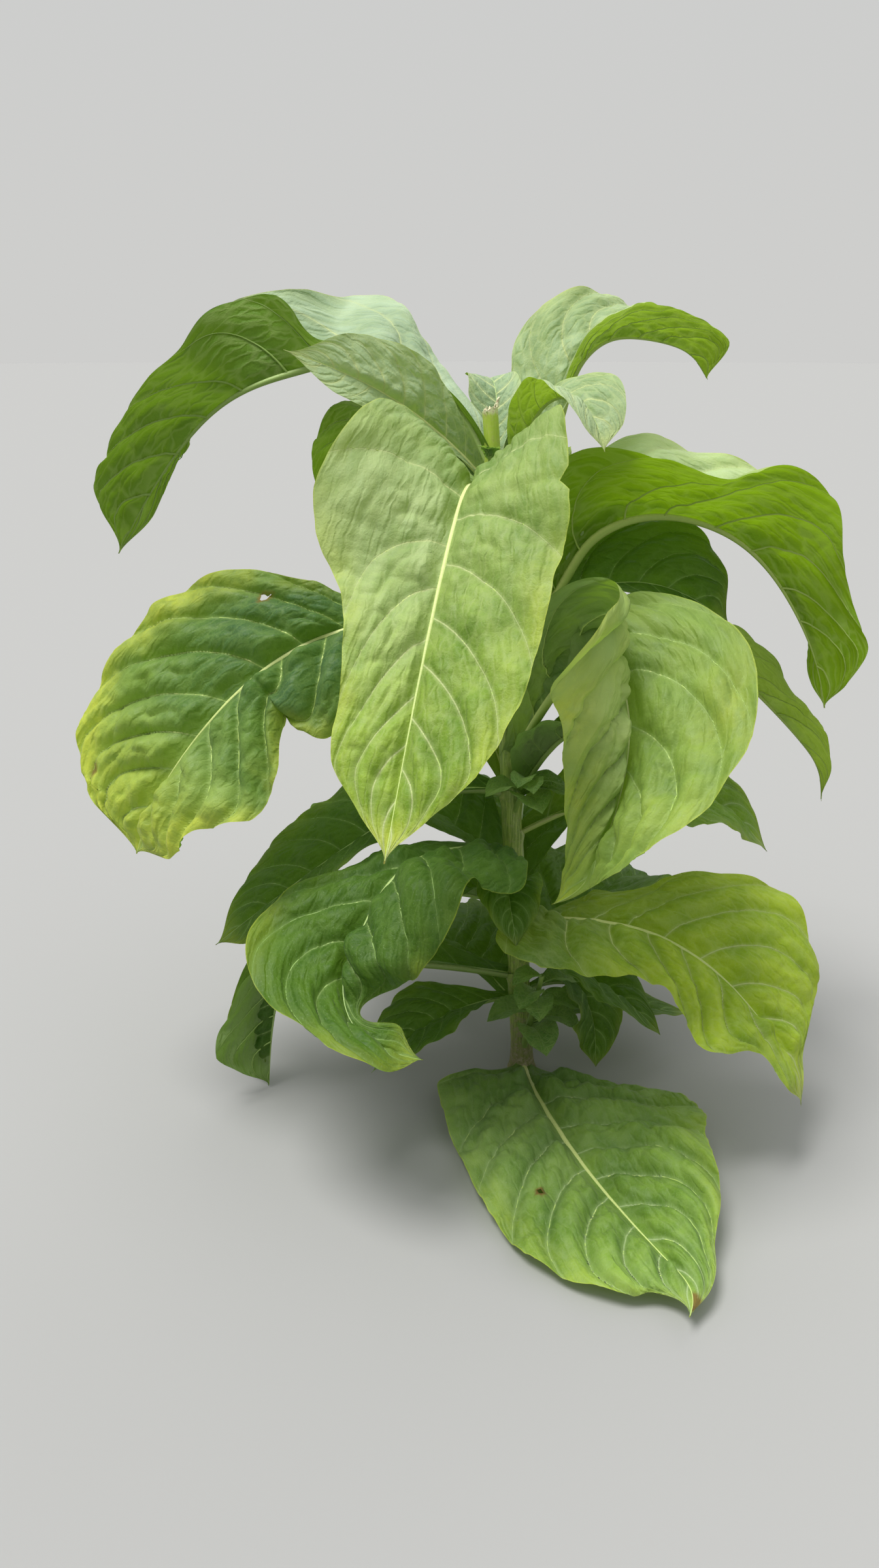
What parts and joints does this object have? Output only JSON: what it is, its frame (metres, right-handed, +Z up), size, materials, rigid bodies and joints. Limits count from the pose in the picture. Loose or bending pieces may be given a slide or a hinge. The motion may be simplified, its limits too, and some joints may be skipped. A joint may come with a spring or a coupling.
{
  "type": "tobacco plant",
  "caption": "Topped broad-leaved crop plant: one leaning stem, rooted in level ground, with large arching leaves all round it and small side shoots.",
  "frame": {"origin": "centre of the stem's flat cut at ground level", "axes": "+Z straight up out of the ground; -Y towards the side that the picture shows; +X to the right as seen from there"},
  "size_m": [1.0814, 1.0131, 1.1497],
  "materials": {
    "stem": "matt green stalk, paler and woody at the foot",
    "leaf": "soft, finely hairy leaf with a matt to satin surface",
    "shoot": "soft young leaf with a matt surface"
  },
  "bodies": {
    "root": {"stem": "stem", "leaf_front": "leaf", "leaf_front_tip": "leaf", "leaf_arch_left": "leaf", "leaf_arch_left_tip": "leaf", "leaf_young_left": "leaf", "leaf_arch_right": "leaf", "leaf_arch_right_tip": "leaf", "leaf_left": "leaf", "leaf_left_tip": "leaf", "leaf_right": "leaf", "leaf_right_tip": "leaf", "leaf_low_right": "leaf", "leaf_low_right_tip": "leaf", "leaf_low_left": "leaf", "leaf_low_left_tip": "leaf", "leaf_ground": "leaf", "leaf_shade_right": "leaf", "leaf_far_right": "leaf", "leaf_far_right_tip": "leaf", "leaf_mid_right": "leaf", "leaf_far_left": "leaf", "leaf_foot_left": "leaf", "leaf_foot_left_tip": "leaf", "leaf_foot_dark": "leaf", "leaf_foot_right": "leaf", "leaf_inner_right": "leaf", "leaf_inner_front": "leaf", "leaf_inner_left": "leaf", "leaf_inner_low": "leaf", "leaf_foot_front": "leaf", "leaf_young_back": "leaf", "leaf_young_right": "leaf", "leaf_arch_back": "leaf", "leaf_arch_back_tip": "leaf", "leaf_back_1": "leaf", "leaf_back_1_tip": "leaf", "leaf_back_2": "leaf", "leaf_back_2_tip": "leaf", "leaf_back_3": "leaf", "leaf_back_3_tip": "leaf", "leaf_back_4": "leaf", "leaf_back_4_tip": "leaf", "leaf_back_5": "leaf", "leaf_back_5_tip": "leaf", "leaf_back_6": "leaf", "leaf_back_7": "leaf", "leaf_back_8": "leaf", "leaf_back_9": "leaf", "shoot_low": "shoot", "shoot_mid": "shoot", "shoot_top": "shoot", "leaf_stub": "stem"}
  },
  "joints": []
}
